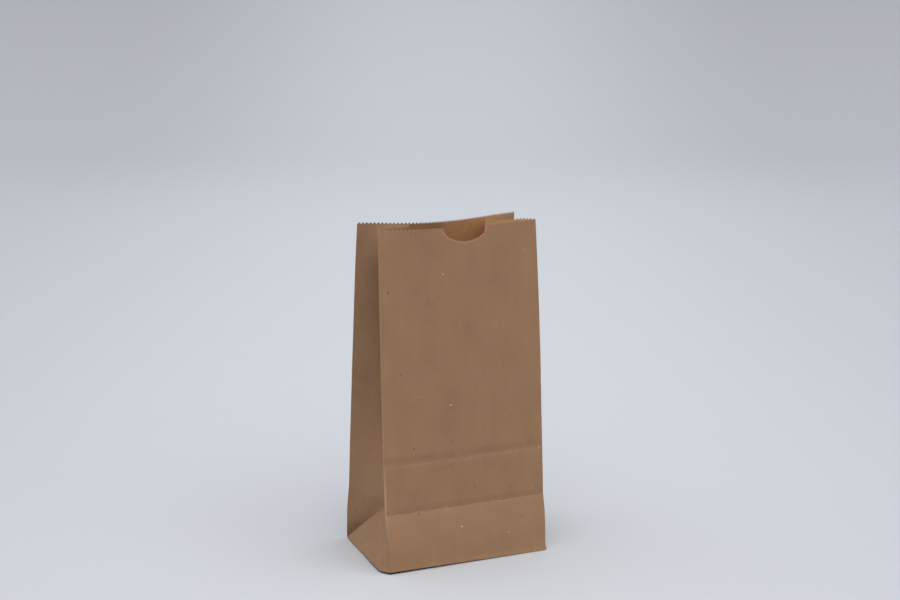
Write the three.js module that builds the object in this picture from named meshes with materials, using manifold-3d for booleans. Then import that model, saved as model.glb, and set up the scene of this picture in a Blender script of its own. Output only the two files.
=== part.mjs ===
// A stand-up paper bag, folded and glued from one sheet of kraft paper.
// Millimetres, +Z up, the front panel faces -Y. The origin is the centre of the base.
//
// The bag is made as the real one is: a flat blank with a serrated top edge and a thumb notch
// is placed in space by its folds. A point of the blank is (u, v): u runs round the tube from
// the front panel's left crease, v runs up the paper from the base edge.
import * as THREE from 'three';
import { mergeVertices } from 'three/addons/utils/BufferGeometryUtils.js';
import Module from 'manifold-3d';

// Size of the set-up bag
const bagWidth = 127;
const bagDepth = 84.7;
const bagHeight = 248;
const paper = 0.12;

// How the set-up bag stands: its front and back lean in, and its panels bow
const stripLean = 4.8;
const frontLean = 20.8;
const backLean = 26.6;
const frontBow = 14.6;
const backBow = 8.5;

// Cut edges
const toothPitch = 2.75;
const toothDepth = 1.3;
const notchWidth = 39.5;
const notchDepth = 12.5;
const notchToothPitch = 2.0;
const notchToothDepth = 0.7;

// Glued laps
const seamWidth = 13;
const seamShift = 8;
const baseLap = 20;

// Resolution of the folded sheet
const sideSteps = 6;
const notchSteps = 6;
const backSteps = 8;
const seamSteps = 2;
const foldSteps = 4;
const bodyRows = 7;
const notchMargin = 3.5;

const halfGusset = bagDepth / 2;
const rightCrease = bagWidth;
const backRight = bagWidth + bagDepth;
const backLeft = 2 * bagWidth + bagDepth;
const tubeLength = 2 * (bagWidth + bagDepth);

const root = (square) => Math.sqrt(Math.max(0, square));
// Share of the way from the base strip's crease up to the top edge
const rise = (v) => Math.max(0, (v - halfGusset) / (bagHeight - halfGusset));
const leanAt = (v, topLean) =>
  v < halfGusset ? (stripLean * v) / halfGusset : stripLean + (topLean - stripLean) * rise(v);
// A bowed panel is narrower between its creases than the flat paper, by the arc's length rule
const halfSpan = (bow) => (bagWidth / 2) * (1 - (8 / 3) * (bow / bagWidth) ** 2);

// Paper keeps its length: a point v up the sheet that has moved sideways stands lower
const heightOf = (v, sideways) => root(v ** 2 - sideways ** 2);

// A point of the front panel (side -1) or the back panel (side 1); s runs across it from -1 to 1
function panelPoint(s, v, side) {
  const front = side < 0;
  const bow = (front ? frontBow : backBow) * rise(v);
  const lean = leanAt(v, front ? frontLean : backLean);
  const crown = bow * (1 - s * s);
  const moved = front ? lean - crown : lean + crown;
  return new THREE.Vector3(s * halfSpan(bow), side * (bagDepth / 2 - moved), heightOf(v, moved));
}

// The gusset's centre crease, pushed in as far as its two halves allow
function gussetFold(v, side) {
  const front = panelPoint(side, v, -1);
  const back = panelPoint(side, v, 1);
  const middle = (front.y + back.y) / 2;
  const edge = (Math.abs(front.x) + Math.abs(back.x)) / 2;
  const levelPush = root(halfGusset ** 2 - ((back.y - front.y) / 2) ** 2);
  const drop = front.z - heightOf(v, levelPush);
  const push = root(levelPush ** 2 - drop ** 2);
  return new THREE.Vector3(side * (edge - push), middle, heightOf(v, Math.hypot(push, middle)));
}

// A point of a side gusset; w runs from its front crease to its back crease
function gussetPoint(w, v, side) {
  const fromFront = w <= halfGusset;
  const across = (fromFront ? w : bagDepth - w) / halfGusset;
  const panelSide = fromFront ? -1 : 1;
  const low = panelPoint(side, 0, panelSide);
  if (v >= halfGusset) {
    return panelPoint(side, v, panelSide).lerp(gussetFold(v, side), across);
  }
  const up = v / halfGusset;
  const apex = gussetFold(halfGusset, side);
  if (across >= up) {
    // The triangle that stands on the base edge, between the two diagonal creases
    const foot = new THREE.Vector3(low.x, w - halfGusset, 0);
    const lift = new THREE.Vector3(apex.x - low.x, apex.y, apex.z);
    return foot.addScaledVector(lift, up);
  }
  // The triangle between a diagonal crease, the panel's crease and the strip's crease
  const top = panelPoint(side, halfGusset, panelSide);
  const edge = top.clone().sub(low).multiplyScalar(up);
  return low.clone().add(edge).addScaledVector(apex.clone().sub(top), across);
}

function foldPoint(u, v) {
  const span = bagWidth / 2;
  if (u <= rightCrease) return panelPoint(u / span - 1, v, -1);
  if (u <= backRight) return gussetPoint(u - rightCrease, v, 1);
  if (u <= backLeft) return panelPoint(1 - (u - backRight) / span, v, 1);
  return gussetPoint(tubeLength - u, v, -1);
}

// Straight teeth between two creases, from one end of a panel's top edge to the other
function toothedEdge(from, to) {
  const count = Math.max(1, Math.round((to - from) / toothPitch));
  const points = [];
  for (let i = 0; i < 2 * count; i++) {
    const v = bagHeight - (i % 2 ? 0 : toothDepth);
    points.push([from + ((to - from) * i) / (2 * count), v]);
  }
  points.push([to, bagHeight - toothDepth]);
  return points;
}

// The thumb notch: half an ellipse with fine teeth of its own
function notchEdge(from, to) {
  const centre = (from + to) / 2;
  const arc = Math.PI * Math.sqrt(((notchWidth / 2) ** 2 + notchDepth ** 2) / 2);
  const count = Math.round(arc / notchToothPitch);
  const points = [[from, bagHeight - toothDepth]];
  for (let i = 1; i < 2 * count; i++) {
    const angle = (Math.PI * i) / (2 * count);
    const inset = i % 2 ? notchToothDepth : 0;
    points.push([
      centre - (notchWidth / 2 - inset) * Math.cos(angle),
      bagHeight - (notchDepth - inset) * Math.sin(angle),
    ]);
  }
  points.push([to, bagHeight - toothDepth]);
  return points;
}

const spread = (from, to, steps) =>
  Array.from({ length: steps + 1 }, (_, i) => from + ((to - from) * i) / steps);

// Each flat part of the tube: where it starts and ends on the blank, its columns and its cut edge
function tubeParts() {
  const notchFrom = (bagWidth - notchWidth) / 2;
  const notchTo = notchFrom + notchWidth;
  const gussetMid = rightCrease + halfGusset;
  const otherMid = backLeft + halfGusset;
  const seamFrom = backRight + (bagWidth - seamWidth) / 2 + seamShift;
  const seamTo = seamFrom + seamWidth;
  const plain = (from, to, steps) => ({ from, to, steps, layers: 1, edge: toothedEdge });
  return [
    plain(0, notchFrom, sideSteps),
    { ...plain(notchFrom, notchTo, notchSteps), edge: notchEdge },
    plain(notchTo, rightCrease, sideSteps),
    plain(rightCrease, gussetMid, foldSteps),
    plain(gussetMid, backRight, foldSteps),
    plain(backRight, seamFrom, backSteps),
    { ...plain(seamFrom, seamTo, seamSteps), layers: 2 },
    plain(seamTo, backLeft, backSteps),
    plain(backLeft, otherMid, foldSteps),
    plain(otherMid, tubeLength, foldSteps),
  ];
}

const rowHeights = () => [
  ...spread(0, halfGusset, foldSteps).slice(0, -1),
  ...spread(halfGusset, bagHeight - notchDepth - notchMargin, bodyRows),
];

// The outer face of one flat part: rows of cells, then a band of triangles up to the cut edge
function partSurface(part) {
  const points = [];
  const faces = [];
  const columns = spread(part.from, part.to, part.steps);
  const rows = rowHeights();
  for (const v of rows) for (const u of columns) points.push([u, v]);
  const climbs = diagonalClimbs(part);
  for (let r = 0; r < rows.length - 1; r++) {
    for (let c = 0; c < part.steps; c++) {
      const a = r * columns.length + c;
      const d = a + columns.length;
      if (climbs) faces.push([a, a + 1, d + 1], [a, d + 1, d]);
      else faces.push([a, a + 1, d], [a + 1, d + 1, d]);
    }
  }
  const low = columns.map((_, c) => (rows.length - 1) * columns.length + c);
  const high = part.edge(part.from, part.to).map((point) => points.push(point) - 1);
  fillColumns(points, faces, low, high);
  return { points, faces };
}

// On these halves of the gussets the diagonal crease climbs as u grows
const diagonalClimbs = (part) => part.from === rightCrease || part.from === backLeft;

// Fills the band between the last row and the cut edge, one column at a time
function fillColumns(points, faces, low, high) {
  const split = low.map((id) => nearestIn(points, high, points[id][0]));
  split[0] = 0;
  split[low.length - 1] = high.length - 1;
  for (let c = 0; c < low.length - 1; c++) {
    const ids = [low[c], low[c + 1], ...high.slice(split[c], split[c + 1] + 1).reverse()];
    const corners = ids.map((id) => new THREE.Vector2(...points[id]));
    for (const face of THREE.ShapeUtils.triangulateShape(corners, [])) faces.push(face.map((k) => ids[k]));
  }
}

function nearestIn(points, ids, u) {
  let best = 0;
  ids.forEach((id, k) => {
    if (Math.abs(points[id][0] - u) < Math.abs(points[ids[best]][0] - u)) best = k;
  });
  return best;
}

// Direction away from the paper's outer face at each point, with the mitre that a crease needs
function pointNormals(places, faces) {
  const sums = places.map(() => new THREE.Vector3());
  const flats = faces.map((face) => {
    const corners = face.map((id) => places[id]);
    return new THREE.Triangle(...corners).getNormal(new THREE.Vector3());
  });
  faces.forEach((face, f) => {
    face.forEach((id, k) => {
      const one = places[face[(k + 1) % 3]].clone().sub(places[id]);
      const two = places[face[(k + 2) % 3]].clone().sub(places[id]);
      sums[id].addScaledVector(flats[f], one.angleTo(two));
    });
  });
  sums.forEach((sum) => sum.normalize());
  const cosines = places.map(() => 1);
  faces.forEach((face, f) => face.forEach((id) => {
    cosines[id] = Math.min(cosines[id], sums[id].dot(flats[f]));
  }));
  const sharpestMitre = 0.5;
  return sums.map((sum, id) => sum.divideScalar(Math.max(sharpestMitre, cosines[id])));
}

function solidOf(wasm, positions, indices) {
  const geometry = new THREE.BufferGeometry();
  geometry.setAttribute('position', new THREE.Float32BufferAttribute(positions, 3));
  geometry.setIndex(indices);
  return toManifold(wasm, geometry);
}

function toManifold(wasm, geometry) {
  const bare = geometry.clone();
  for (const name of Object.keys(bare.attributes)) {
    if (name !== 'position') bare.deleteAttribute(name);
  }
  const tolerance = 1e-5;
  const merged = mergeVertices(bare, tolerance);
  const index = merged.index.array;
  const kept = [];
  for (let i = 0; i < index.length; i += 3) {
    const [a, b, c] = index.slice(i, i + 3);
    if (a !== b && b !== c && a !== c) kept.push(a, b, c);
  }
  return new wasm.Manifold(new wasm.Mesh({
    numProp: 3,
    vertProperties: new Float32Array(merged.attributes.position.array),
    triVerts: new Uint32Array(kept),
  }));
}

// The tube of paper: an outer face, an inner face one paper further in, and the two cut edges
function tube(wasm) {
  const keyDigits = 4;
  const outline = [];
  const faces = [];
  const ids = new Map();
  for (const part of tubeParts()) {
    const surface = partSurface(part);
    const local = surface.points.map(([u, v]) => {
      const key = `${(u % tubeLength).toFixed(keyDigits)},${v.toFixed(keyDigits)}`;
      if (!ids.has(key)) ids.set(key, outline.push([u % tubeLength, v]) - 1);
      return ids.get(key);
    });
    for (const face of surface.faces) {
      faces.push({ corners: face.map((i) => local[i]), lift: (part.layers - 1) * paper });
    }
  }
  const places = outline.map(([u, v]) => foldPoint(u, v));
  const normals = pointNormals(places, faces.map((face) => face.corners));
  const level = (id, offset) => {
    const place = places[id].clone().addScaledVector(normals[id], offset);
    if (outline[id][1] === 0) place.z = 0;
    return place.toArray();
  };
  const positions = [];
  const indices = [];
  const put = (...corners) => {
    for (const corner of corners) indices.push(positions.push(...corner) / 3 - 1);
  };
  const edges = new Map();
  for (const face of faces) {
    const { corners: [a, b, c], lift } = face;
    put(level(a, lift), level(b, lift), level(c, lift));
    put(level(a, -paper), level(c, -paper), level(b, -paper));
    for (const [p, q] of [[a, b], [b, c], [c, a]]) {
      const twin = edges.get(`${q},${p}`);
      if (twin === undefined) edges.set(`${p},${q}`, { p, q, lift });
      else {
        edges.delete(`${q},${p}`);
        if (lift !== twin.lift) closeStep(put, level, p, q, lift, twin.lift);
      }
    }
  }
  for (const { p, q, lift } of edges.values()) {
    for (let from = -paper; from < lift; from += paper) closeStep(put, level, q, p, from, from + paper);
  }
  return solidOf(wasm, positions, indices);
}

// The cut side of one layer of paper, along the edge from p to q
function closeStep(put, level, p, q, from, to) {
  put(level(p, to), level(q, to), level(q, from));
  put(level(p, to), level(q, from), level(p, from));
}

function prism(wasm, corners, from, to) {
  const points = corners.map(([x, y]) => new THREE.Vector2(x, y));
  if (THREE.ShapeUtils.area(points) < 0) points.reverse();
  const shape = new THREE.Shape(points);
  const geometry = new THREE.ExtrudeGeometry(shape, { depth: to - from, bevelEnabled: false });
  geometry.translate(0, 0, from);
  return toManifold(wasm, geometry);
}

// The base: gusset flaps inside, then the front flap, then the back flap that laps over it.
// The gussets slope in from the base edge, so their flaps start inside that slope.
function base(wasm) {
  const join = paper / 2;
  const flap = (bagDepth + baseLap) / 2;
  const x = bagWidth / 2 - join;
  const y = bagDepth / 2 - join;
  const tip = x - flap;
  const free = y - flap;
  const floor = 2 * paper;
  const slope = 2 * paper;
  const trapezoid = (side) => [[-x, side * y], [x, side * y], [tip, side * free], [-tip, side * free]];
  const edge = x - slope;
  const gussetFlap = (side) => [[side * tip, -y], [side * edge, -y], [side * edge, y], [side * tip, y]];
  return prism(wasm, trapezoid(-1), paper, floor + join)
    .add(prism(wasm, trapezoid(1), 0, floor + join))
    .add(prism(wasm, gussetFlap(-1), floor, 2 * floor))
    .add(prism(wasm, gussetFlap(1), floor, 2 * floor));
}

function toGeometry(solid) {
  const mesh = solid.getMesh();
  const geometry = new THREE.BufferGeometry();
  geometry.setAttribute('position', new THREE.BufferAttribute(new Float32Array(mesh.vertProperties), 3));
  geometry.setIndex(new THREE.BufferAttribute(new Uint32Array(mesh.triVerts), 1));
  geometry.computeVertexNormals();
  return geometry;
}

const wasm = await Module();
wasm.setup();

const kraft = new THREE.MeshStandardMaterial({ color: 0x8f7053, roughness: 0.85, metalness: 0 });
const bag = new THREE.Mesh(toGeometry(tube(wasm).add(base(wasm))), kraft);
bag.name = 'paper_bag';

const group = new THREE.Group();
group.add(bag);
export default group;
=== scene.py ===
# Stand-up kraft paper bag: one sheet, cut as a flat blank, folded and given its thickness.
# Metres, +Z up, the front panel faces -Y. The blank's own coordinates are in millimetres:
# u runs round the tube from the front panel's left crease, v runs up from the base edge.
import math
import bpy
import bmesh
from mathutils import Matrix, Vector, noise


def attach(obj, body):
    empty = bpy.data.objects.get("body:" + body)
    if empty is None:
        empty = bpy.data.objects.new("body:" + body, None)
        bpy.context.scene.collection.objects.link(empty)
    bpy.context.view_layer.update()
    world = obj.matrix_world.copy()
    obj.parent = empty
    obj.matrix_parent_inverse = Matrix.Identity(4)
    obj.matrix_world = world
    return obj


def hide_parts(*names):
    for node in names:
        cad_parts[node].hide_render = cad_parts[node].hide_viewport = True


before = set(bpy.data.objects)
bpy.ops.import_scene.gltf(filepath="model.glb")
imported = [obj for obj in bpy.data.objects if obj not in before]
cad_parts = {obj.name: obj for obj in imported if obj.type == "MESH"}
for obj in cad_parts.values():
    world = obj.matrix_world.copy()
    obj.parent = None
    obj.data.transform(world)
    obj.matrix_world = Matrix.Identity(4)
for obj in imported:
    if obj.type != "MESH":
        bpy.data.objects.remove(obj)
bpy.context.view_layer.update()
mm = 0.001

photoView = {
    "place": (-499.6, -1160.8, 461.0),     # mm, from the centre of the bag's base
    "turn": 23.42,                         # degrees to the right of straight ahead
    "pitch": 12.22,                        # degrees below the horizon
    "focalPixels": 1773.3,
    "imageWidth": 900,
    "sensor": 36.0,
}


def makeCamera():
    data = bpy.data.cameras.new("photoCamera")
    data.sensor_width = photoView["sensor"]
    data.lens = photoView["focalPixels"] / photoView["imageWidth"] * photoView["sensor"]
    data.clip_end = 50
    cam = bpy.data.objects.new("photoCamera", data)
    cam.location = [c * mm for c in photoView["place"]]
    cam.rotation_euler = (math.radians(90 - photoView["pitch"]), 0, math.radians(-photoView["turn"]))
    bpy.context.scene.collection.objects.link(cam)
    bpy.context.scene.camera = cam
    print("camera placed")


bag = {
    "width": 127.0,
    "depth": 84.7,
    "height": 248.0,
    "paper": 0.14,
    "strip": 42.35,          # height of the crease that the base folds up on
    "imprint": 78.0,         # line that the folded base has pressed into the front
    "stripLean": 4.9,        # how far the panels have leaned in at the strip's crease
    "stripCurl": 2.2,        # the strip stands nearly upright and curls in towards it
    "frontProud": 2.2,       # the front's base edge stands this far out
    "frontLean": 20.8,       # lean at the top edge
    "backLean": 26.6,
    "sag": 0.9,              # the panels hang this far out of line at mid height
    "rightLean": 2.4,        # the front panel's right side stands further back
    "frontBow": 13.7,        # how far the panels bow between their creases at the top
    "backBow": 10.8,
    "frontSkew": -0.55,      # the bows peak left of the middle
    "backSkew": -0.25,
    "gussetSlack": 0.15,     # the gussets aren't pushed in all the way at the top
    "gussetCurl": 2.2,       # each gusset half springs away from its creases at the top
    "tuck": 4.2,             # the gusset's back half caves in above its diagonal crease
    "tuckHeight": 5.0,
    "cornerReach": (4.0, 2.5),   # the front creases round off towards the base corners, left and right
    "cornerHeight": 32.0,
    "flap": 52.35,           # length of the base flaps
    "flapClear": 2.0,        # the gusset flaps stay this far inside the front edge
    "flapEase": 4.0,         # and take this far to get there
    "seamFrom": 276.7,       # where on the blank the glued seam starts
    "seamLap": 13.0,
    "seamEase": 2.0,         # the sheet steps over the seam's edge in this width
    "layer": 1.25,           # spacing of paper layers, in thicknesses
}

# how the base's edges leave the plain rectangle
baseEdge = {
    # outward swell of the side edges, by the share of the way from the front crease to the back one
    "swell": ((0, 0), (0.04, 1.9), (0.085, 4.3), (0.13, 4.6), (0.25, 4.2), (0.37, 3.5), (0.5, 2.7),
              (0.7, 1.9), (0.83, 1.5), (0.93, 0.7), (1, 0)),
    "swellHeight": 44.0,         # how far up the side that swell goes
    "rightShare": 0.6,           # the right side's swell against the left side's
    "bulge": 4.2,                # the gusset's front half is pressed out near the base
    "bulgeWidth": 12.0,
    "bulgeEnds": (8.0, 10.0),    # it fades this near the front crease, and the centre crease
    "frontLeft": 1.6,            # how far the edge stands off the ground
    "frontRight": 0.3,
    "back": 0.3,
    "rollIn": 1.3,               # the base lies on the ground from this far in
}

cutEdge = {
    "toothPitch": 2.75,
    "toothDepth": 1.5,
    "notchWidth": 39.5,
    "notchDepth": 12.5,
    "notchTeeth": 21,
    "notchTooth": 1.8,
    "notchRagged": 0.5,
    "notchAbove": 3.0,       # the notch's outline ends this far above the sheet
    "notchZone": (4.0, 5.0),     # faces this far beside and below it may be cut
    "cell": 2.2,             # half the size of a mesh cell, with some to spare
}

# rows of the blank, close together at its creases: from, to and how many between
rowBands = ((-bag["flap"], -10, 5), (-10, -2, 2), (-2, 0, 6), (0, 36, 16), (36, 41.2, 3), (41.2, 42.35, 2),
            (42.35, 43.5, 2), (43.5, 51, 4), (51, 75, 9), (75, 77, 2), (77, 79, 4), (79, 83, 2),
            (83, 248, 50))

wrinkles = {
    "cockle": (0.45, 38.0, 52.0),        # depth, and size across and along the sheet
    "ripple": (0.07, 8.0, 17.0),
    "buckle": (1.1, 24.0, 58.0),         # the gussets are limper than the panels
    "ridge": (0.22, 1.1),                # pressed line: height and half width
    "calmBelow": 28.0,                   # the glued base keeps the paper flat
    "calmShare": 0.15,                   # what is left of the waves at the base
    "buckleEdge": (26.0, 24.0),          # buckles fade this far from the panels, over this width
    "takeOver": 40.0,                    # the waves change over in this width before the seam
}

width, depth, height = bag["width"], bag["depth"], bag["height"]
strip = bag["strip"]
half = depth / 2
layer = bag["paper"] * bag["layer"]
rightCrease, backRight, backLeft = width, width + depth, 2 * width + depth
around = 2 * (width + depth)
sheetStart = bag["seamFrom"] - around


def root(x):
    return math.sqrt(max(0.0, x))


def spread(a, b, steps):
    return [a + (b - a) * i / steps for i in range(steps)]


def smooth(x):
    x = min(1.0, max(0.0, x))
    return x * x * (3 - 2 * x)


def readProfile(points, x):
    for (a, low), (b, high) in zip(points, points[1:]):
        if x <= b:
            return low + (high - low) * (x - a) / (b - a)
    return points[-1][1]


def rise(v):
    return max(0.0, (v - strip) / (height - strip))


# how far a panel leans in at its base edge, and at the height v
def leanAt(s, v, side):
    front = side < 0
    foot = -bag["frontProud"] * (1 - s) / 2 if front else 0.0
    topLean = bag["frontLean"] if front else bag["backLean"]
    extra = bag["rightLean"] * (s + 1) / 2 * math.sin(math.pi * root(v / height)) if front else 0.0
    if v < strip:
        return foot, foot + (bag["stripLean"] - foot) * (v / strip) ** bag["stripCurl"] + extra
    up = rise(v)
    lean = bag["stripLean"] + (topLean - bag["stripLean"]) * up - bag["sag"] * 4 * up * (1 - up)
    return foot, lean + extra


def liftAt(s, side):
    if side > 0:
        return baseEdge["back"]
    return baseEdge["frontLeft"] + (baseEdge["frontRight"] - baseEdge["frontLeft"]) * (s + 1) / 2


# a point of the front panel (side -1) or the back panel (side 1), s from -1 to 1 between its creases
def panelPoint(s, v, side):
    peak = (bag["frontBow"] if side < 0 else bag["backBow"]) * rise(v)
    if side < 0:
        bow = peak * (1 - s * s) * (1 + bag["frontSkew"] * s)
    else:
        bow = peak * root(1 - s * s) ** 3 * (1 + bag["backSkew"] * s)
    foot, lean = leanAt(s, max(v, 0.0), side)
    moved = lean + side * bow
    span = width / 2 * (1 - 8 / 3 * (peak / width) ** 2)      # a bowed sheet spans less
    lift = liftAt(s, side) * (1 - smooth(v / strip))
    return Vector((s * span, side * (depth / 2 - moved), root(v * v - (moved - foot) ** 2) + lift))


# the gusset's centre crease, pushed in as far as the paper's length allows
def gussetFold(v, side):
    front, back = panelPoint(side, v, -1), panelPoint(side, v, 1)
    middle = (front.y + back.y) / 2
    edge = (abs(front.x) + abs(back.x)) / 2
    level = root(half ** 2 - ((back.y - front.y) / 2) ** 2)
    drop = front.z - root(v * v - level * level)
    push = root(level ** 2 - drop ** 2) * (1 - bag["gussetSlack"] * rise(v) ** 2)
    return Vector((side * (edge - push), middle, root(v * v - push * push - middle * middle)))


# how far a side stands out at w from its front crease
def swellAt(w, v, side):
    foot = readProfile(baseEdge["swell"], w / depth) * (1 - smooth(v / baseEdge["swellHeight"]))
    nearCrease, nearFold = baseEdge["bulgeEnds"]
    hump = math.exp(-((w - v) / baseEdge["bulgeWidth"]) ** 2)
    hump *= smooth(w / nearCrease) * smooth((half - w) / nearFold)
    bulge = baseEdge["bulge"] * math.sin(math.pi * min(1.0, v / strip)) * hump
    return (foot + bulge) * (1 if side < 0 else baseEdge["rightShare"])


def straightFoot(w, side):
    return panelPoint(side, 0, -1).lerp(panelPoint(side, 0, 1), w / depth)


def footPoint(w, side):
    return straightFoot(w, side) + Vector((side * swellAt(w, 0, side), 0, 0))


def gussetPoint(w, v, side):
    fromFront = w <= half
    across = (w if fromFront else depth - w) / half
    panelSide = -1 if fromFront else 1
    up = v / strip
    swell = Vector((side * swellAt(w, v, side), 0, 0))
    if across >= up:
        corner, apex = panelPoint(side, 0, panelSide), gussetFold(strip, side)
        return straightFoot(w, side).lerp(corner.lerp(apex, across), up / max(across, 1e-6)) + swell
    edge = panelPoint(side, v, panelSide)
    if v >= strip:
        fold = gussetFold(v, side)
        place = edge.lerp(fold, across)
    else:
        crease = panelPoint(side, 0, panelSide).lerp(gussetFold(strip, side), up)
        place = edge.lerp(crease, across / up)
    swing = bag["gussetCurl"] * rise(v) ** 2 * math.sin(2 * math.pi * across)
    away = Vector((side * 0.5, -panelSide * 0.85, 0))         # roughly square to the gusset's half
    over = (v - across * strip) / bag["tuckHeight"]
    caved = bag["tuck"] * over * smooth(over * 2) * math.exp(1 - over) * root(math.sin(math.pi * across))
    return place + swell + away * swing - Vector((side, 0, 0)) * (0 if fromFront else caved)


# the base flaps: gusset flaps inside, then the front flap, and the back flap outermost
def flapPoint(u, v):
    settle = 1 - smooth(-v / baseEdge["rollIn"])
    clear = bag["flapClear"] * smooth(-v / bag["flapEase"])
    if 0 < u < rightCrease:
        foot, inward, level = panelPoint(u * 2 / width - 1, 0, -1), Vector((0, 1, 0)), layer
    elif rightCrease <= u <= backRight:
        foot, inward, level = footPoint(max(u - rightCrease, clear), 1), Vector((-1, 0, 0)), 3 * layer
    elif backLeft - around <= u <= 0:
        foot, inward, level = footPoint(max(-u, clear), -1), Vector((1, 0, 0)), 3 * layer
    else:
        s = 1 - ((u if u > 0 else u + around) - backRight) * 2 / width
        foot, inward, level = panelPoint(s, 0, 1), Vector((0, -1, 0)), 0
    return Vector((foot.x, foot.y, level + foot.z * settle)) - inward * v


# how deep the seam's inner layer lies under the outer one
def seamSink(u):
    return layer * (1 - smooth((u - sheetStart - bag["seamLap"]) / bag["seamEase"]))


def foldPoint(u, v):
    if v < 0:
        return flapPoint(u, v) + Vector((0, 0, seamSink(u)))
    if 0 <= u <= rightCrease:
        return panelPoint(u * 2 / width - 1, v, -1)
    if rightCrease < u <= backRight:
        return gussetPoint(u - rightCrease, v, 1)
    if backLeft - around <= u < 0:
        return gussetPoint(-u, v, -1)
    s = 1 - ((u if u > 0 else u + around) - backRight) * 2 / width
    return panelPoint(s, v, 1) - Vector((0, seamSink(u), 0))


# near the base corners the crease gives way to a rounded bend
def roundCorner(u, v):
    point = foldPoint(u, v)
    fade = 1 - smooth(v / bag["cornerHeight"] if v > 0 else -v / baseEdge["rollIn"])
    for crease, widest in zip((0, rightCrease), bag["cornerReach"]):
        reach = widest * fade
        t = (u - crease) / max(reach, 0.01)
        if abs(t) < 1:
            along = (t + 1) / 2
            bend = foldPoint(crease, v)
            point = foldPoint(crease - reach, v).lerp(bend, along).lerp(
                bend.lerp(foldPoint(crease + reach, v), along), along)
    return point


# the seam's two layers share their waves, which the sheet takes over on the way to the seam
def wave(kind, u, v, seed):
    size, across, along = wrinkles[kind]
    near = smooth((u - bag["seamFrom"]) / wrinkles["takeOver"] + 1)
    own = noise.noise(Vector((u / across, v / along, seed)))
    other = noise.noise(Vector(((u - around) / across, v / along, seed)))
    return size * (own + (other - own) * near)


def wrinkleAt(u, v):
    fold = min(abs(u + half), abs(u - rightCrease - half))
    inset, fadeWidth = wrinkles["buckleEdge"]
    inGusset = 1 - smooth((fold - half + inset) / fadeWidth)
    lift = wave("cockle", u, v, 0.37) + wave("ripple", u, v, 4.1) + wave("buckle", u, v, 7.7) * inGusset
    lift *= wrinkles["calmShare"] + (1 - wrinkles["calmShare"]) * smooth(v / wrinkles["calmBelow"])
    ridge, reach = wrinkles["ridge"]
    if 0 < u < rightCrease:
        lift += ridge * math.exp(-((v - bag["imprint"]) / reach) ** 2)
    return lift if v > 0 else 0.0


def blankColumns():
    lapEnd = sheetStart + bag["seamLap"]
    stops = [sheetStart, lapEnd, lapEnd + bag["seamEase"], -depth, -half, 0, rightCrease,
             rightCrease + half, backRight, bag["seamFrom"], bag["seamFrom"] + bag["seamLap"]]
    columns = []
    for a, b in zip(stops, stops[1:]):
        teeth = max(1, round((b - a) / cutEdge["toothPitch"]))
        columns += spread(a, b, 2 * teeth)
    return columns + [stops[-1]]


def blankRows():
    rows = []
    for a, b, steps in rowBands:
        rows += spread(a, b, steps)
    return rows + [height]


# the flat sheet: every other column ends lower, which makes the teeth
def makeBlank():
    columns, rows = blankColumns(), blankRows()
    bm = bmesh.new()
    bmesh.ops.create_grid(bm, x_segments=len(columns) - 1, y_segments=len(rows) - 1, size=1)
    for vert in bm.verts:
        c = round((vert.co.x + 1) / 2 * (len(columns) - 1))
        r = round((vert.co.y + 1) / 2 * (len(rows) - 1))
        vert.co = (columns[c], rows[r], 0)
        if r == len(rows) - 1 and c % 2 == 0:
            vert.co.y -= cutEdge["toothDepth"]
    print("blank:", len(columns), "columns,", len(rows), "rows")
    return bm


def withEdges(faces):
    return faces + list({e for f in faces for e in f.edges}) + list({v for f in faces for v in f.verts})


# cuts the faces along a line of the flat blank, and gives back all of them
def cutAlong(bm, faces, point, normal):
    cut = bmesh.ops.bisect_plane(bm, geom=withEdges(faces), dist=1e-5,
                                 plane_co=(*point, 0), plane_no=(*normal, 0))
    return [g for g in cut["geom"] if isinstance(g, bmesh.types.BMFace)]


# the base flaps' ends, cut at 45 degrees
def cutFlaps(bm):
    corners = ((-depth, -1), (0, 1), (rightCrease, -1), (backRight, 1))
    for crease, lean in corners:
        cutAlong(bm, [f for f in bm.faces if f.calc_center_median().y < 0], (crease, 0), (1, lean))
    spare = []
    for face in bm.faces:
        c = face.calc_center_median()
        if any(0 < lean * (c.x - crease) < -c.y for crease, lean in corners):
            spare.append(face)
    bmesh.ops.delete(bm, geom=spare, context="FACES")


# the creases from the base corners to where they meet on the gussets
def cutDiagonals(bm):
    for start in (rightCrease, -depth):
        for corner, lean in ((start, -1), (start + depth, 1)):
            middle = corner - lean * half / 2
            crossed = []
            for face in bm.faces:
                c = face.calc_center_median()
                if abs(c.x - middle) < half / 2 and 0 < c.y < strip:
                    crossed.append(face)
            cutAlong(bm, crossed, (corner, 0), (1, lean))


def notchOutline():
    centre, a, b = width / 2, cutEdge["notchWidth"] / 2, cutEdge["notchDepth"]
    above = height + cutEdge["notchAbove"]
    steps = 2 * cutEdge["notchTeeth"]
    points = [Vector((centre - a, above))]
    for k in range(steps + 1):
        angle = math.pi * k / steps
        inset = cutEdge["notchTooth"] if k % 2 else 0
        inset += cutEdge["notchRagged"] * noise.noise(Vector((k * 0.73, 2.9, 0)))
        across, down = (a - inset) * math.cos(angle), (b - inset) * math.sin(angle)
        points.append(Vector((centre - across, height - down)))
    return points + [Vector((centre + a, above))]


def isInside(point, outline):
    inside = False
    for p, q in zip(outline, outline[1:] + outline[:1]):
        if (p.y > point.y) != (q.y > point.y):
            crossing = p.x + (q.x - p.x) * (point.y - p.y) / (q.y - p.y)
            if point.x < crossing:
                inside = not inside
    return inside


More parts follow.
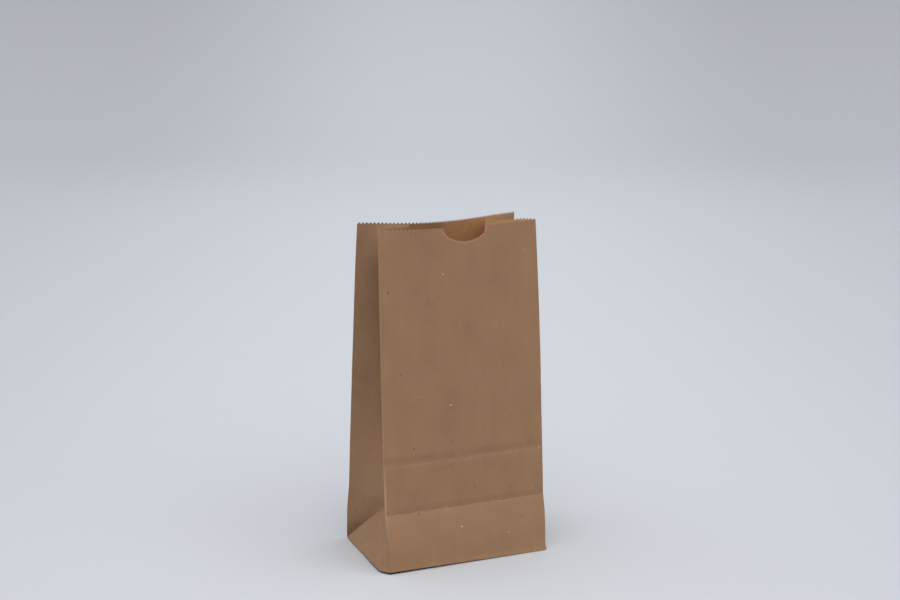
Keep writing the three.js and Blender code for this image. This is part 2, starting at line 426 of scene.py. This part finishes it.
# cuts the toothed notch flank by flank, then takes out what lies inside it
def cutNotch(bm):
    outline = notchOutline()
    beside, below = cutEdge["notchZone"]
    zone = []
    for face in bm.faces:
        c = face.calc_center_median()
        inReach = abs(c.x - width / 2) < cutEdge["notchWidth"] / 2 + beside
        if inReach and c.y > height - cutEdge["notchDepth"] - below:
            zone.append(face)
    for p, q in zip(outline, outline[1:]):
        middle, along = (p + q) / 2, (q - p).normalized()
        reach = (q - p).length / 2 + cutEdge["cell"]
        near = [f for f in zone if (f.calc_center_median().xy - middle).length < reach]
        done = cutAlong(bm, near, middle, (-along.y, along.x))
        known = set(zone)
        zone = [f for f in zone if f.is_valid] + [f for f in done if f not in known]
    spare = [f for f in zone if isInside(f.calc_center_median().xy, outline)]
    bmesh.ops.delete(bm, geom=spare, context="FACES")
    print("notch cut:", len(spare), "faces out")


def foldBlank(bm):
    uvLayer = bm.loops.layers.uv.new("blank")
    flat = {}
    for face in bm.faces:
        face.smooth = True
        for loop in face.loops:
            loop[uvLayer].uv = (loop.vert.co.x / 100, loop.vert.co.y / 100)
    for vert in bm.verts:
        flat[vert] = (vert.co.x, vert.co.y)
        vert.co = roundCorner(*flat[vert])
    bm.normal_update()
    for vert in bm.verts:
        vert.co = (vert.co + vert.normal * wrinkleAt(*flat[vert])) * mm


def makeBag():
    bm = makeBlank()
    cutFlaps(bm)
    cutDiagonals(bm)
    cutNotch(bm)
    foldBlank(bm)
    sheet = bpy.data.meshes.new("kraftSheet")
    bm.to_mesh(sheet)
    bm.free()
    for material in (kraftPaper(), cutPaper(), innerPaper()):
        sheet.materials.append(material)
    piece = bpy.data.objects.new("kraftBag", sheet)
    bpy.context.scene.collection.objects.link(piece)
    solid = piece.modifiers.new("paperThickness", "SOLIDIFY")
    solid.thickness = bag["paper"] * mm
    solid.offset = -1
    solid.material_offset = 2
    solid.material_offset_rim = 1
    piece.data = bpy.data.meshes.new_from_object(piece.evaluated_get(bpy.context.evaluated_depsgraph_get()))
    piece.modifiers.clear()
    piece.data.set_sharp_from_angle(angle=math.radians(30))
    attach(piece, "root")
    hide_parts("paper_bag")
    print("bag folded:", len(piece.data.polygons), "faces")


paper = {
    "dark": (0.232, 0.126, 0.062),
    "light": (0.312, 0.178, 0.094),
    "ruddy": (0.292, 0.147, 0.074),
    "sallow": (0.262, 0.160, 0.080),
    # pale paper for wear on creases and cut edges, also the painted highlight
    "wornAndHighlight": (0.47, 0.33, 0.21),
    "darkFleck": (0.075, 0.036, 0.018),
    "lightFleck": (0.58, 0.46, 0.32),
    "cut": (0.50, 0.34, 0.215),
    # painted shade for the caved-in fold over the gusset's back half
    "fold": (0.085, 0.042, 0.02),
    # painted shade in the gap under the lifted front edge
    "under": (0.004, 0.003, 0.002),
    # the inner side's colour, and a lighter copy for the painted glow of light coming through
    "inside": ((0.30, 0.165, 0.078), (0.54, 0.31, 0.145)),
    "tuft": (0.62, 0.46, 0.31),
    "flecks": (15.0, 0.6),   # mm between them, and how strongly they show
    "roughness": 0.78,
    "roughInside": 0.85,
    "bump": (0.3, 0.08),     # strength, and depth in mm
    "glow": 0.25,            # light that comes through the thin sheet
    "glowReach": 0.5,
}

# the paper's grains: size across and along the sheet in mm, detail and shift
grainSizes = {
    "clouds": (21.0, 31.5, 4, 0.0),
    "streaks": (6, 60, 3, 2.7),
    "fibres": (0.45, 4.5, 3, 5.1),
    "mottle": (3.2, 3.8, 3, 8.3),
    "breaks": (9, 5, 3, 11.9),       # makes bands and worn lines uneven
    "ruddy": (9, 12, 3, 15.2),
    "sallow": (6, 9, 3, 21.7),
}
grainShows = (("clouds", 1.1), ("streaks", 0.4), ("fibres", 0.22), ("mottle", 0.6))

# painted shade and highlight in bands across the front, where its creases tilt the paper: height in mm, half
# width and tone
paintedFrontBands = ((strip - 3.0, 4.0, 0.16), (strip + 2.6, 3.8, -0.3),
              (bag["imprint"] + 4.0, 5.5, -0.4), (bag["imprint"] - 1.2, 3.2, 0.3))

# painted light and shade on the gussets: from and to up the sheet in mm, and the tone
gussetPaintedLight = {
    "facet": 0.3,                    # painted highlight on the triangles below the diagonal creases, which face up
    "lowCentre": (46, 110, 1.87),    # painted highlight beside the centre crease, against the pleat's shade, over the base and at the mouth
    "topCentre": (206, 236, 2.09),
    "centreReach": 36,
    "corner": (16, 38, 0.75),        # painted highlight on the pressed-out corner beside the front crease, against its shade
    "back": (70, 120, -0.45),        # painted shade on the back half, turned from the light
    "backTop": (225, 240, 0.5),      # less of that painted shade at the mouth
    "backReach": 26,
    "fold": 0.8,                     # painted shade in the caved-in fold over the back half's diagonal crease
    "foldReach": 14,
}

# how much of the pale colour shows: real wear on the creases and cut edges, and painted highlight in the
# gusset pleats and beside the front-left crease, against their shade
wearAndHighlight = {
    "uprights": (0.1, 0.6),          # the creases between panels and gussets, least and most
    "uprightTop": 0.45,              # what is left of it further up
    "backSpared": 0.8,
    # painted highlight against the shade in the gusset pleats at the mouth and over the base, and beside the
    # front-left crease
    "mouthPleatHighlight": 0.42,
    "lowPleatHighlight": 0.17,
    "lowCreaseHighlight": 0.5,
    "imprint": 0.2,
    "strip": (0.04, 0.22),
    "diagonals": 0.05,
    "topEdge": 0.4,
    "notchEdge": 0.95,
}

# marks that catch the eye on the front: u, v, half width, half height, and a tone from -1 dark to 1 light
markList = ((45.1, 215, 0.7, 0.7, 0.8), (51.4, 119, 0.8, 0.7, 0.8), (58.6, 27.2, 0.8, 0.9, 0.8),
            (124.1, 78.3, 0.8, 0.6, 0.6), (27.5, 127.4, 4.5, 0.5, 0.14), (92.5, 52.5, 0.5, 2.2, 0.12),
            (-0.9, 82.2, 1.0, 2.0, -0.9), (22.8, 89.6, 0.75, 0.8, -0.8), (107.5, 27.9, 0.7, 0.8, -0.75),
            (123.9, 66.2, 0.8, 0.7, -0.7), (26.2, 40.9, 1.1, 0.6, -0.6), (6.1, 203.6, 0.6, 1.0, -0.7),
            (41.2, 145.8, 0.5, 0.6, -0.5), (51.8, 92.0, 0.7, 1.0, -0.35), (51.2, 74.0, 1.9, 0.5, -0.35),
            (71.0, 23.8, 0.8, 0.7, -0.35), (22.0, 245.0, 0.35, 3.6, -0.38), (24.6, 243.5, 0.3, 3.0, -0.3))


def plainMaterial(name, colour, roughness):
    mat = bpy.data.materials.new(name)
    mat.use_nodes = True
    shader = mat.node_tree.nodes["Principled BSDF"]
    shader.inputs["Base Color"].default_value = (*colour, 1)
    shader.inputs["Roughness"].default_value = roughness
    return mat, mat.node_tree, shader


def feed(tree, socket, value):
    if isinstance(value, bpy.types.NodeSocket):
        tree.links.new(value, socket)
    else:
        socket.default_value = value


def calc(tree, operation, a, b=0.0):
    node = tree.nodes.new("ShaderNodeMath")
    node.operation = operation
    feed(tree, node.inputs[0], a)
    feed(tree, node.inputs[1], b)
    return node.outputs[0]


def remap(tree, value, fromLow, fromHigh, toLow, toHigh):
    node = tree.nodes.new("ShaderNodeMapRange")
    node.interpolation_type = "SMOOTHSTEP"
    for socket, number in zip(node.inputs[:5], (value, fromLow, fromHigh, toLow, toHigh)):
        feed(tree, socket, number)
    return node.outputs[0]


def fading(tree, value, low, high, tone):
    return remap(tree, value, low, high, tone, 0)


def growing(tree, value, low, high, tone):
    return remap(tree, value, low, high, 0, tone)


def gap(tree, value, at):
    return calc(tree, "ABSOLUTE", calc(tree, "SUBTRACT", value, at))


def nearLine(tree, value, at, reach):
    return fading(tree, gap(tree, value, at), 0, reach, 1)


def centred(tree, value):
    return calc(tree, "SUBTRACT", value, 0.5)


def times(tree, first, *others):
    for other in others:
        first = calc(tree, "MULTIPLY", first, other)
    return first


def tint(tree, share, a, b):
    node = tree.nodes.new("ShaderNodeMix")
    node.data_type = "RGBA"
    feed(tree, node.inputs["Factor"], share)
    for socket, colour in zip((node.inputs[6], node.inputs[7]), (a, b)):
        feed(tree, socket, colour if isinstance(colour, bpy.types.NodeSocket) else (*colour, 1))
    return node.outputs[2]


def sheetPlace(tree):
    uv = tree.nodes.new("ShaderNodeUVMap")
    uv.uv_map = "blank"
    scale = tree.nodes.new("ShaderNodeVectorMath")
    scale.operation = "SCALE"
    scale.inputs["Scale"].default_value = 100
    tree.links.new(uv.outputs[0], scale.inputs[0])
    parts = tree.nodes.new("ShaderNodeSeparateXYZ")
    tree.links.new(scale.outputs[0], parts.inputs[0])
    return scale.outputs[0], parts.outputs[0], parts.outputs[1]


def grain(tree, place, across, along, detail, shift=0.0):
    mapping = tree.nodes.new("ShaderNodeMapping")
    mapping.inputs["Scale"].default_value = (1 / across, 1 / along, 1)
    mapping.inputs["Location"].default_value = (shift, shift, shift)
    tree.links.new(place, mapping.inputs["Vector"])
    node = tree.nodes.new("ShaderNodeTexNoise")
    node.inputs["Scale"].default_value = 1
    node.inputs["Detail"].default_value = detail
    tree.links.new(mapping.outputs[0], node.inputs["Vector"])
    return node.outputs["Fac"]


# sparse specks: a share of the cells of a Voronoi pattern holds one
def specks(tree, place, every, radius, share, shift):
    mapping = tree.nodes.new("ShaderNodeMapping")
    mapping.inputs["Scale"].default_value = (1 / every, 1 / every, 1)
    mapping.inputs["Location"].default_value = (shift, shift, 0)
    tree.links.new(place, mapping.inputs["Vector"])
    cells = tree.nodes.new("ShaderNodeTexVoronoi")
    cells.voronoi_dimensions = "2D"
    cells.inputs["Scale"].default_value = 1
    tree.links.new(mapping.outputs[0], cells.inputs["Vector"])
    parts = tree.nodes.new("ShaderNodeSeparateColor")
    tree.links.new(cells.outputs["Color"], parts.inputs[0])
    chosen = calc(tree, "LESS_THAN", parts.outputs[0], share)
    size = times(tree, calc(tree, "ADD", parts.outputs[1], 0.35), radius / every)
    return times(tree, calc(tree, "LESS_THAN", cells.outputs["Distance"], size), chosen)


# distance from a point of the sheet, 1 on an oval round it
def spot(tree, place, u, v, halfWidth, halfHeight):
    away = tree.nodes.new("ShaderNodeVectorMath")
    away.operation = "SUBTRACT"
    away.inputs[1].default_value = (u, v, 0)
    tree.links.new(place, away.inputs[0])
    scaled = tree.nodes.new("ShaderNodeVectorMath")
    scaled.operation = "MULTIPLY"
    scaled.inputs[1].default_value = (1 / halfWidth, 1 / halfHeight, 0)
    tree.links.new(away.outputs[0], scaled.inputs[0])
    length = tree.nodes.new("ShaderNodeVectorMath")
    length.operation = "LENGTH"
    tree.links.new(scaled.outputs[0], length.inputs[0])
    return length.outputs["Value"]


def addUp(tree, first, parts):
    for part, weight in parts:
        first = calc(tree, "ADD", first, calc(tree, "MULTIPLY", part, weight))
    return first


def highest(tree, parts):
    top = parts[0]
    for part in parts[1:]:
        top = calc(tree, "MAXIMUM", top, part)
    return top


# the sheet's measures in mm and masks for its parts
def measureSheet(tree):
    place, u, v = sheetPlace(tree)
    on = {name: grain(tree, place, *size) for name, size in grainSizes.items()}
    on.update(place=place, u=u, v=v)
    on["waved"] = addUp(tree, v, [(centred(tree, on["breaks"]), 3.0)])
    on["fold"] = calc(tree, "MINIMUM", gap(tree, u, -half), gap(tree, u, rightCrease + half))
    on["overDiagonal"] = calc(tree, "SUBTRACT", calc(tree, "ADD", v, on["fold"]), half)
    on["inFront"] = times(tree, growing(tree, u, 0, 0.6, 1), fading(tree, u, width - 0.6, width, 1))
    on["inGusset"] = fading(tree, on["fold"], half, half + 0.5, 1)
    on["inBack"] = calc(tree, "GREATER_THAN", gap(tree, u, width / 2), width / 2 + half)
    return on


# painted shade and highlight along the front's creases, and a lighter band along the base edge
def paintedFrontShading(tree, on):
    bands = [(nearLine(tree, on["waved"], at, reach), tone) for at, reach, tone in paintedFrontBands]
    bands.append((fading(tree, on["waved"], strip - 0.8, strip + 0.6, 0.14), 1.0))
    return addUp(tree, fading(tree, on["v"], 0, 7, 0.2), bands)


# painted light and shade on the gussets
def paintedGussetLight(tree, on):
    facet = calc(tree, "LESS_THAN", on["overDiagonal"], 0)
    ends = calc(tree, "ADD", fading(tree, on["v"], *gussetPaintedLight["lowCentre"]),
                growing(tree, on["v"], *gussetPaintedLight["topCentre"]))
    centre = times(tree, nearLine(tree, on["fold"], 0, gussetPaintedLight["centreReach"]), ends)
    corner = times(tree, nearLine(tree, on["u"], -6, 10), fading(tree, on["v"], *gussetPaintedLight["corner"]))
    low, high, left = gussetPaintedLight["backTop"]
    back = times(tree, nearLine(tree, on["fold"], half, gussetPaintedLight["backReach"]), on["inBack"],
                 growing(tree, on["v"], *gussetPaintedLight["back"]), remap(tree, on["v"], low, high, 1, left))
    return addUp(tree, corner, [(facet, gussetPaintedLight["facet"]), (centre, 1.0), (back, 1.0)])


# the shade in the fold over the back half's diagonal crease
def foldShade(tree, on):
    over = on["overDiagonal"]
    return times(tree, fading(tree, over, 0, gussetPaintedLight["foldReach"], gussetPaintedLight["fold"]),
                 calc(tree, "GREATER_THAN", over, 0), fading(tree, on["v"], 4, 36, 1),
                 on["inBack"], on["inGusset"])


# worn colour on the creases and cut edges, and painted highlight in the gusset pleats and beside the
# front-left crease
def wearAndHighlightShare(tree, on):
    v, waved, fold = on["v"], on["waved"], on["fold"]
    lessBack = calc(tree, "SUBTRACT", 1.0, times(tree, on["inBack"], wearAndHighlight["backSpared"]))
    uneven = remap(tree, on["breaks"], 0.38, 0.62, *wearAndHighlight["uprights"])
    uprights = times(tree, nearLine(tree, fold, half, 0.8), uneven, lessBack,
                     growing(tree, v, 24, 36, 1), remap(tree, v, 100, 150, 1, wearAndHighlight["uprightTop"]))
    mouthPleatHighlight = times(tree, nearLine(tree, fold, 10, 34), growing(tree, v, 200, 242, wearAndHighlight["mouthPleatHighlight"]))
    lowPleatHighlight = times(tree, nearLine(tree, fold, 2, 24), nearLine(tree, v, 52, 24), wearAndHighlight["lowPleatHighlight"])
    pleatHighlights = times(tree, calc(tree, "MAXIMUM", mouthPleatHighlight, lowPleatHighlight), on["inGusset"])
    lowCreaseHighlight = times(tree, nearLine(tree, on["u"], 0.6, 1.5), nearLine(tree, v, 54, 30), wearAndHighlight["lowCreaseHighlight"])
    pressed = times(tree, nearLine(tree, waved, bag["imprint"], 0.9),
                    growing(tree, on["breaks"], 0.42, 0.6, wearAndHighlight["imprint"]))
    rubbed = times(tree, nearLine(tree, waved, strip - 0.4, 1.0),
                   remap(tree, on["mottle"], 0.4, 0.6, *wearAndHighlight["strip"]))
    lines = times(tree, calc(tree, "MAXIMUM", rubbed, pressed), on["inFront"])
    diagonals = times(tree, nearLine(tree, on["overDiagonal"], -0.3, 1.0), on["inGusset"], wearAndHighlight["diagonals"])
    topEdge = growing(tree, v, height - cutEdge["toothDepth"] - 0.3, height, wearAndHighlight["topEdge"])
    notch = spot(tree, on["place"], width / 2, height, cutEdge["notchWidth"] / 2, cutEdge["notchDepth"])
    notchEdge = times(tree, fading(tree, notch, 0.93, 0.985, wearAndHighlight["notchEdge"]), on["inFront"])
    return highest(tree, (uprights, lines, topEdge, notchEdge, pleatHighlights, lowCreaseHighlight, diagonals))


# the gap's shade on the lowest paper and just underneath, which fades to the right and to the back
def gapShade(tree, on):
    u, v = on["u"], on["v"]
    return times(tree, fading(tree, v, 0.05, 0.4, 1), growing(tree, v, -2.2, -1.7, 1),
                 remap(tree, u, 20, 124, 1, 0.05), growing(tree, u, -75, -35, 1))


def addFlecks(tree, place, colour):
    every, strength = paper["flecks"]
    dark = specks(tree, place, every, 0.42, 0.22, 3.3)
    pale = specks(tree, place, every * 1.3, 0.38, 0.2, 9.1)
    colour = tint(tree, times(tree, dark, strength), colour, paper["darkFleck"])
    colour = tint(tree, times(tree, pale, strength), colour, paper["lightFleck"])
    for u, v, halfWidth, halfHeight, tone in markList:
        share = fading(tree, spot(tree, place, u, v, halfWidth, halfHeight), 0.5, 1.1, abs(tone))
        colour = tint(tree, share, colour, paper["lightFleck"] if tone > 0 else paper["darkFleck"])
    return colour


# the thin sheet lets a little light through
def letThrough(shader):
    shader.inputs["Subsurface Weight"].default_value = paper["glow"]
    shader.inputs["Subsurface Radius"].default_value = (1.0, 0.45, 0.2)
    shader.inputs["Subsurface Scale"].default_value = paper["glowReach"] * mm


def kraftPaper():
    mat, tree, shader = plainMaterial("kraftPaper", paper["light"], paper["roughness"])
    on = measureSheet(tree)
    shade = addUp(tree, 0.5, [(centred(tree, on[name]), strength) for name, strength in grainShows])
    shade = addUp(tree, shade, [(paintedFrontShading(tree, on), on["inFront"]), (paintedGussetLight(tree, on), on["inGusset"])])
    colour = tint(tree, shade, paper["dark"], paper["light"])
    colour = tint(tree, growing(tree, on["ruddy"], 0.42, 0.68, 0.35), colour, paper["ruddy"])
    colour = tint(tree, growing(tree, on["sallow"], 0.48, 0.7, 0.3), colour, paper["sallow"])
    colour = tint(tree, foldShade(tree, on), colour, paper["fold"])
    colour = tint(tree, wearAndHighlightShare(tree, on), colour, paper["wornAndHighlight"])
    colour = tint(tree, gapShade(tree, on), colour, paper["under"])
    tree.links.new(addFlecks(tree, on["place"], colour), shader.inputs["Base Color"])
    tree.links.new(remap(tree, on["mottle"], 0.3, 0.7, paper["roughness"] - 0.06, paper["roughness"] + 0.08),
                   shader.inputs["Roughness"])
    letThrough(shader)
    bump = tree.nodes.new("ShaderNodeBump")
    bump.inputs["Strength"].default_value = paper["bump"][0]
    bump.inputs["Distance"].default_value = paper["bump"][1] * mm
    tree.links.new(addUp(tree, 0.0, [(on["fibres"], 0.5), (on["mottle"], 1.5)]), bump.inputs["Height"])
    tree.links.new(bump.outputs[0], shader.inputs["Normal"])
    print("kraft paper mixed")
    return mat


# the sheet's inner side, with a painted glow of the light that comes through the paper, fading across the
# back panel
def innerPaper():
    mat, tree, shader = plainMaterial("innerPaper", paper["inside"][0], paper["roughInside"])
    place, u = sheetPlace(tree)[:2]
    paintedGlow = times(tree, remap(tree, u, backRight + 20, backLeft - 45, 0.95, 0.05),
                   calc(tree, "GREATER_THAN", u, 0))
    tone = addUp(tree, paintedGlow, [(centred(tree, grain(tree, place, 14, 18, 4, 6.1)), 0.8),
                                (centred(tree, grain(tree, place, 2.6, 3.4, 3, 3.9)), 0.5)])
    tree.links.new(tint(tree, tone, *paper["inside"]), shader.inputs["Base Color"])
    letThrough(shader)
    print("inner paper mixed")
    return mat


def cutPaper():
    mat, tree, shader = plainMaterial("cutPaper", paper["cut"], paper["roughInside"])
    tufts = grain(tree, sheetPlace(tree)[0], 0.6, 0.6, 3)
    tree.links.new(tint(tree, tufts, paper["light"], paper["tuft"]), shader.inputs["Base Color"])
    print("cut paper mixed")
    return mat


studio = {
    "floorColour": (0.596, 0.621, 0.668),
    "paintedFalloffColour": (0.37, 0.386, 0.42),
    "floorSize": 8.0,
    "sweepAt": 2.2,
    "sweepRadius": 1.2,
    "farFade": (1.3, 4.0, 0.75),     # painted falloff of the light: from and to in metres, and the share of the falloff colour
    "sideFade": (0.05, 0.75, 0.42),
    "surround": 0.5,
    "lights": (("overheadLight", 85, 0, 120, 1.6, (1, 0.995, 0.985)),
               ("frontLight", 45, 8, 80, 0.78, (1, 0.99, 0.97)),
               ("leftLight", 48, -72, 90, 0.18, (1, 0.99, 0.98))),
}


# a floor that bends up into a backdrop, with a painted falloff of the light, darker towards the far end and
# the sides
def makeSweep():
    bm = bmesh.new()
    uvLayer = bm.loops.layers.uv.new("sweep")
    bmesh.ops.create_grid(bm, x_segments=2, y_segments=80, size=studio["floorSize"])
    for face in bm.faces:
        face.smooth = True
        for loop in face.loops:
            loop[uvLayer].uv = loop.vert.co.xy
    bend, radius = studio["sweepAt"], studio["sweepRadius"]
    turn = math.radians(photoView["turn"])
    ahead, side = Vector((math.sin(turn), math.cos(turn), 0)), Vector((math.cos(turn), -math.sin(turn), 0))
    for vert in bm.verts:
        run = vert.co.y
        angle = min(max((run - bend) / radius, 0), math.pi / 2)
        forward = min(run, bend) + radius * math.sin(angle)
        level = radius * (1 - math.cos(angle)) + max(run - bend - radius * math.pi / 2, 0)
        vert.co = ahead * forward + side * vert.co.x + Vector((0, 0, level))
    mesh = bpy.data.meshes.new("floor")
    bm.to_mesh(mesh)
    bm.free()
    floor = bpy.data.objects.new("floor", mesh)
    bpy.context.scene.collection.objects.link(floor)
    mat, tree, shader = plainMaterial("paleSweep", studio["floorColour"], 0.9)
    uv = tree.nodes.new("ShaderNodeUVMap")
    uv.uv_map = "sweep"
    parts = tree.nodes.new("ShaderNodeSeparateXYZ")
    tree.links.new(uv.outputs[0], parts.inputs[0])
    # painted falloff of the light towards the far end and the sides
    far = calc(tree, "ADD", growing(tree, parts.outputs[1], *studio["farFade"]),
               growing(tree, gap(tree, parts.outputs[0], 0), *studio["sideFade"]))
    tree.links.new(tint(tree, far, studio["floorColour"], studio["paintedFalloffColour"]), shader.inputs["Base Color"])
    mesh.materials.append(mat)
    print("floor laid")


# a wide soft lamp in the distance: elevation, degrees to the right of the front, and its spread
def softLight(name, elevation, azimuth, spreadAngle, strength, colour):
    data = bpy.data.lights.new(name, "SUN")
    data.angle = math.radians(spreadAngle)
    data.energy = strength
    data.color = colour
    lamp = bpy.data.objects.new(name, data)
    up, bearing = math.radians(elevation), math.radians(azimuth)
    toLamp = Vector((math.sin(bearing) * math.cos(up), -math.cos(bearing) * math.cos(up), math.sin(up)))
    lamp.rotation_euler = toLamp.to_track_quat("Z", "Y").to_euler()
    bpy.context.scene.collection.objects.link(lamp)


def makeStudio():
    world = bpy.data.worlds.new("softSurround")
    world.use_nodes = True
    world.node_tree.nodes["Background"].inputs["Color"].default_value = (0.98, 0.985, 0.99, 1)
    world.node_tree.nodes["Background"].inputs["Strength"].default_value = studio["surround"]
    bpy.context.scene.world = world
    for light in studio["lights"]:
        softLight(*light)
    bpy.context.scene.view_settings.view_transform = "Standard"
    print("studio lit")


makeCamera()
makeBag()
makeSweep()
makeStudio()
